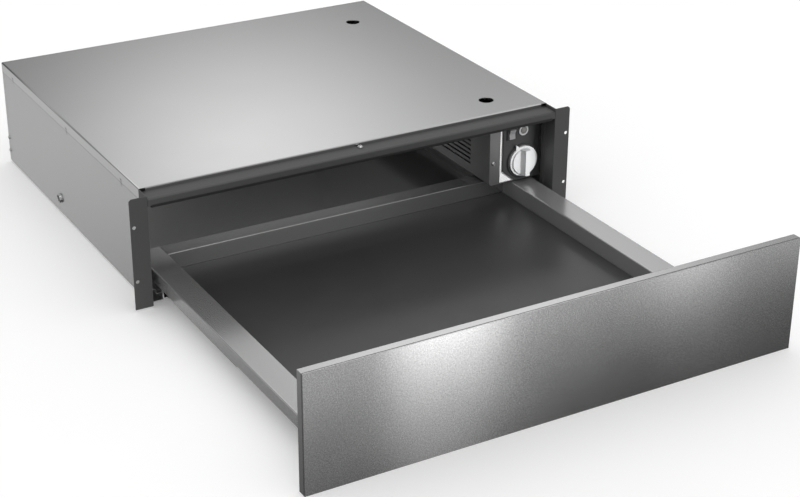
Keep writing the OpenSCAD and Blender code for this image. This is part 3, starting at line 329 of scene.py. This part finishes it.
def panel_groove_painted_shade():
    """A closed dark cord of D section, laid round the panel's four sides in its groove as painted shade for
    the groove's shadow.
    """
    plate_low, plate_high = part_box("front_panel")
    middle = plate_high.y + (SHADE_STRIP_WIDE / 2 + SHADE_STRIP_CLEARANCE) * MM
    bottom = SHADE_STRIP_SET_BACK + SHADE_STRIP_TALL
    section = [(-SHADE_STRIP_WIDE / 2, bottom)]
    for step in range(SHADE_STRIP_ARC_STEPS + 1):
        turn = math.pi * step / SHADE_STRIP_ARC_STEPS
        across = -math.cos(turn) * SHADE_STRIP_WIDE / 2
        section.append((across, SHADE_STRIP_SET_BACK + (1 - math.sin(turn)) * SHADE_STRIP_CROWN))
    section.append((SHADE_STRIP_WIDE / 2, bottom))
    corners = ((plate_low.x, plate_low.z, 1, 1), (plate_high.x, plate_low.z, -1, 1),
               (plate_high.x, plate_high.z, -1, -1), (plate_low.x, plate_high.z, 1, -1))
    mesh = bmesh.new()
    rings = [[mesh.verts.new((x + inward_x * deep * MM, middle + across * MM, z + inward_z * deep * MM))
              for across, deep in section] for x, z, inward_x, inward_z in corners]
    for ring, following in zip(rings, rings[1:] + rings[:1]):
        for i in range(len(section)):
            j = (i + 1) % len(section)
            mesh.faces.new((ring[i], ring[j], following[j], following[i]))
    bmesh.ops.recalc_face_normals(mesh, faces=mesh.faces)
    data = bpy.data.meshes.new("panel_groove_painted_shade")
    mesh.to_mesh(data)
    mesh.free()
    piece = place("panel_groove_painted_shade", data)
    # The cord's black finish is painted shade in the panel's groove
    data.materials.append(black_rubber_and_groove_shade)
    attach(piece, "drawer")


panel_groove_painted_shade()


# Studio: strengths, angles in degrees, lengths in metres where not named otherwise

FLOOR_REACH = 12.0
FLOOR_TONES = (0.84, 0.88)
FLOOR_CLOUDS = 3.0
FLOOR_ROUGH = 0.9
FLOOR_GLOW = 0.16

# The room that steel mirrors brightens from its low to its top tone over these heights. Dull finishes see
# an even room.
ROOM_LOW = 0.045
ROOM_TOP = 0.24
ROOM_RISE = (-50.0, 60.0)
ROOM_EVEN = 1.12
# Bearing clockwise from +Y, height above the horizon, half width, half height, strength
SOFT_BOXES = [
    (24.6, 22.6, 7, 3.7, 1.04),
    (33.5, 30, 7, 3.5, 1.8),
    (39, 23, 5.5, 6, 0.4),
    (20, 58, 30, 18, 1.6),
    (-22, -21, 22, 8, 0.56),
    (-75, 20, 40, 30, 0.35),
    (105, 25, 40, 30, 0.35),
    (68, -15, 36, 13, 0.60),
    (205, 24, 55, 18, 0.60),
    (185, 64, 60, 12, 1.60),
    (190, -13, 17, 9, 0.95),
    (-8, 16, 13, 9, 0.70),
    (-50, -11, 13, 8, 0.45),
    (-110, -15, 45, 14, 0.45),
]
# The lit curtain that the front panel mirrors: it fades downward, with two brighter streaks
CURTAIN_TOP = -29.6
CURTAIN_BEARING = 153.0
CURTAIN_SLOPE = 0.285
CURTAIN_FADE = 2.5
CURTAIN_FADE_TURN = 0.11
CURTAIN_FADE_LEAST = 0.6
CURTAIN_LEVEL = 0.56
# Bearings of each streak's two sides, half width of its soft edge, strength
CURTAIN_STREAKS = [(150.4, 146.6, 0.5, 1.75), (141.0, 138.8, 0.6, 0.75)]
# Between which bearings the curtain comes in and goes out, and between which heights it ends
CURTAIN_LEFT = (112.0, 128.0)
CURTAIN_RIGHT = (158.0, 172.0)
CURTAIN_EDGE = (-17.0, -8.0)

# Name, middle, point faced, width and depth, all in millimetres, then watts, spread and the nodes it lights
CARDS = [
    ("mouth_fill", (-80, -8, 119), (-80, 300, 60), 320, 28, 0.52, 150, tuple(NODES)),
    ("cavity_fill", (-215, 350, 122), (-225, 476, 80), 50, 24, 0.8, 150, ("rear_panel", "base_shell")),
    ("controls_fill", (420, -420, 260), (245, 0, 64), 120, 120, 0.062, 24,
     ("control_plate", "control_fascia", "temperature_knob", "switch_body", "switch_rocker", "pilot_body",
      "pilot_lens")),
]

CAMERA_AT = Vector((-921.862, -1715.039, 938.054)) * MM
CAMERA_BEARING = 29.865
CAMERA_DIP = 25.722
CAMERA_ROLL = 0.247
LENS_MM = 79.803
SENSOR_MM = 36.0
FARTHEST_SEEN = 50.0


def studio_floor():
    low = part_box("panel_frame")[0].z
    corners = [(x * FLOOR_REACH, y * FLOOR_REACH, low) for x, y in ((-1, -1), (1, -1), (1, 1), (-1, 1))]
    mesh = bpy.data.meshes.new("floor")
    mesh.from_pydata(corners, [], [(0, 1, 2, 3)])
    floor = place("floor", mesh)
    made, f = finish("pale_floor")
    f.shade(
        base_color=f.grey(*FLOOR_TONES, f.noise(FLOOR_CLOUDS)),
        roughness=FLOOR_ROUGH,
        emission_color=colour(1.0),
        emission_strength=FLOOR_GLOW,
    )
    mesh.materials.append(made)
    floor.visible_glossy = False
    floor.visible_shadow = False


def turned_from(bearing, middle):
    """Degrees from middle to bearing, between -180 and 180."""
    return (bearing - (middle - 540)) % 360.0 - 180.0


def curtain_glow(bearing, height):
    """The curtain's light in each direction."""
    along = bearing - CURTAIN_BEARING
    fade = (along * CURTAIN_FADE_TURN + CURTAIN_FADE).higher_of(CURTAIN_FADE_LEAST)
    fall = (height - CURTAIN_TOP + along * CURTAIN_SLOPE).lower_of(0.0) / fade
    curtain = CURTAIN_LEVEL
    for left, right, edge, strength in CURTAIN_STREAKS:
        band = bearing.between(right - edge, right + edge) * (1 - bearing.between(left - edge, left + edge))
        curtain = band * strength + curtain
    window = bearing.between(*CURTAIN_LEFT) * (1 - bearing.between(*CURTAIN_RIGHT))
    return math.e ** fall * curtain * window * (1 - height.between(*CURTAIN_EDGE))


def studio_world():
    """Soft light from all round, with soft boxes set by where the steel mirrors them.

    The floor and the dull finishes see an even white room, so that the floor stays pale under the object.
    """
    world = bpy.data.worlds.new("studio")
    bpy.context.scene.world = world
    world.use_nodes = True
    f = Finish(world.node_tree)
    toward = f.node("ShaderNodeTexCoord", output="Generated")
    x, y, z = (f.node("ShaderNodeSeparateXYZ", inputs={0: toward}, output=axis) for axis in "XYZ")
    bearing = x.bearing_past(y)
    height = z.climb()
    glow = height.between(*ROOM_RISE) * (ROOM_TOP - ROOM_LOW) + ROOM_LOW
    for box_bearing, box_height, wide, tall, strength in SOFT_BOXES:
        across = turned_from(bearing, box_bearing) / wide
        up = (height - box_height) / tall
        glow = glow + math.e ** ((across * across + up * up) * -1.0) * strength
    glow = glow + curtain_glow(bearing, height)
    mirrored = f.node("ShaderNodeBackground", inputs={"Color": colour(1.0), "Strength": glow})
    even = f.node("ShaderNodeBackground", inputs={"Color": colour(1.0), "Strength": ROOM_EVEN})
    plain = f.node("ShaderNodeBackground", inputs={"Color": colour(1.0), "Strength": 1.0})
    dull = f.node("ShaderNodeLightPath", output="Is Diffuse Ray")
    seen = f.node("ShaderNodeLightPath", output="Is Camera Ray")
    lit = f.node("ShaderNodeMixShader", inputs={0: dull, 1: mirrored, 2: even})
    both = f.node("ShaderNodeMixShader", inputs={0: seen, 1: lit, 2: plain})
    f.node("ShaderNodeOutputWorld", inputs={"Surface": both})


def card(name, at, aim, wide, deep, watts, spread, lit):
    """A soft light card for the lit nodes alone, which neither the camera nor the steel sees."""
    data = bpy.data.lights.new(name, "AREA")
    data.shape = "RECTANGLE"
    data.size = wide * MM
    data.size_y = deep * MM
    data.energy = watts
    data.spread = math.radians(spread)
    made = place(name, data)
    made.location = Vector(at) * MM
    made.rotation_mode = "QUATERNION"
    made.rotation_quaternion = (Vector(aim) - Vector(at)).to_track_quat("-Z", "Y")
    made.visible_camera = False
    made.visible_glossy = False
    group = bpy.data.collections.new(name + "_reach")
    for node in lit:
        group.objects.link(NODES[node])
    made.light_linking.receiver_collection = group


def camera():
    data = bpy.data.cameras.new("camera")
    data.lens = LENS_MM
    data.sensor_width = SENSOR_MM
    data.clip_end = FARTHEST_SEEN
    made = place("camera", data)
    turn = Matrix.Rotation(math.radians(-CAMERA_BEARING), 4, "Z")
    tilt = Matrix.Rotation(math.radians(90 - CAMERA_DIP), 4, "X")
    roll = Matrix.Rotation(math.radians(CAMERA_ROLL), 4, "Z")
    made.matrix_world = Matrix.Translation(CAMERA_AT) @ turn @ tilt @ roll
    bpy.context.scene.camera = made


studio_floor()
studio_world()
camera()
for settings in CARDS:
    card(*settings)
bpy.context.scene.view_settings.view_transform = "Standard"
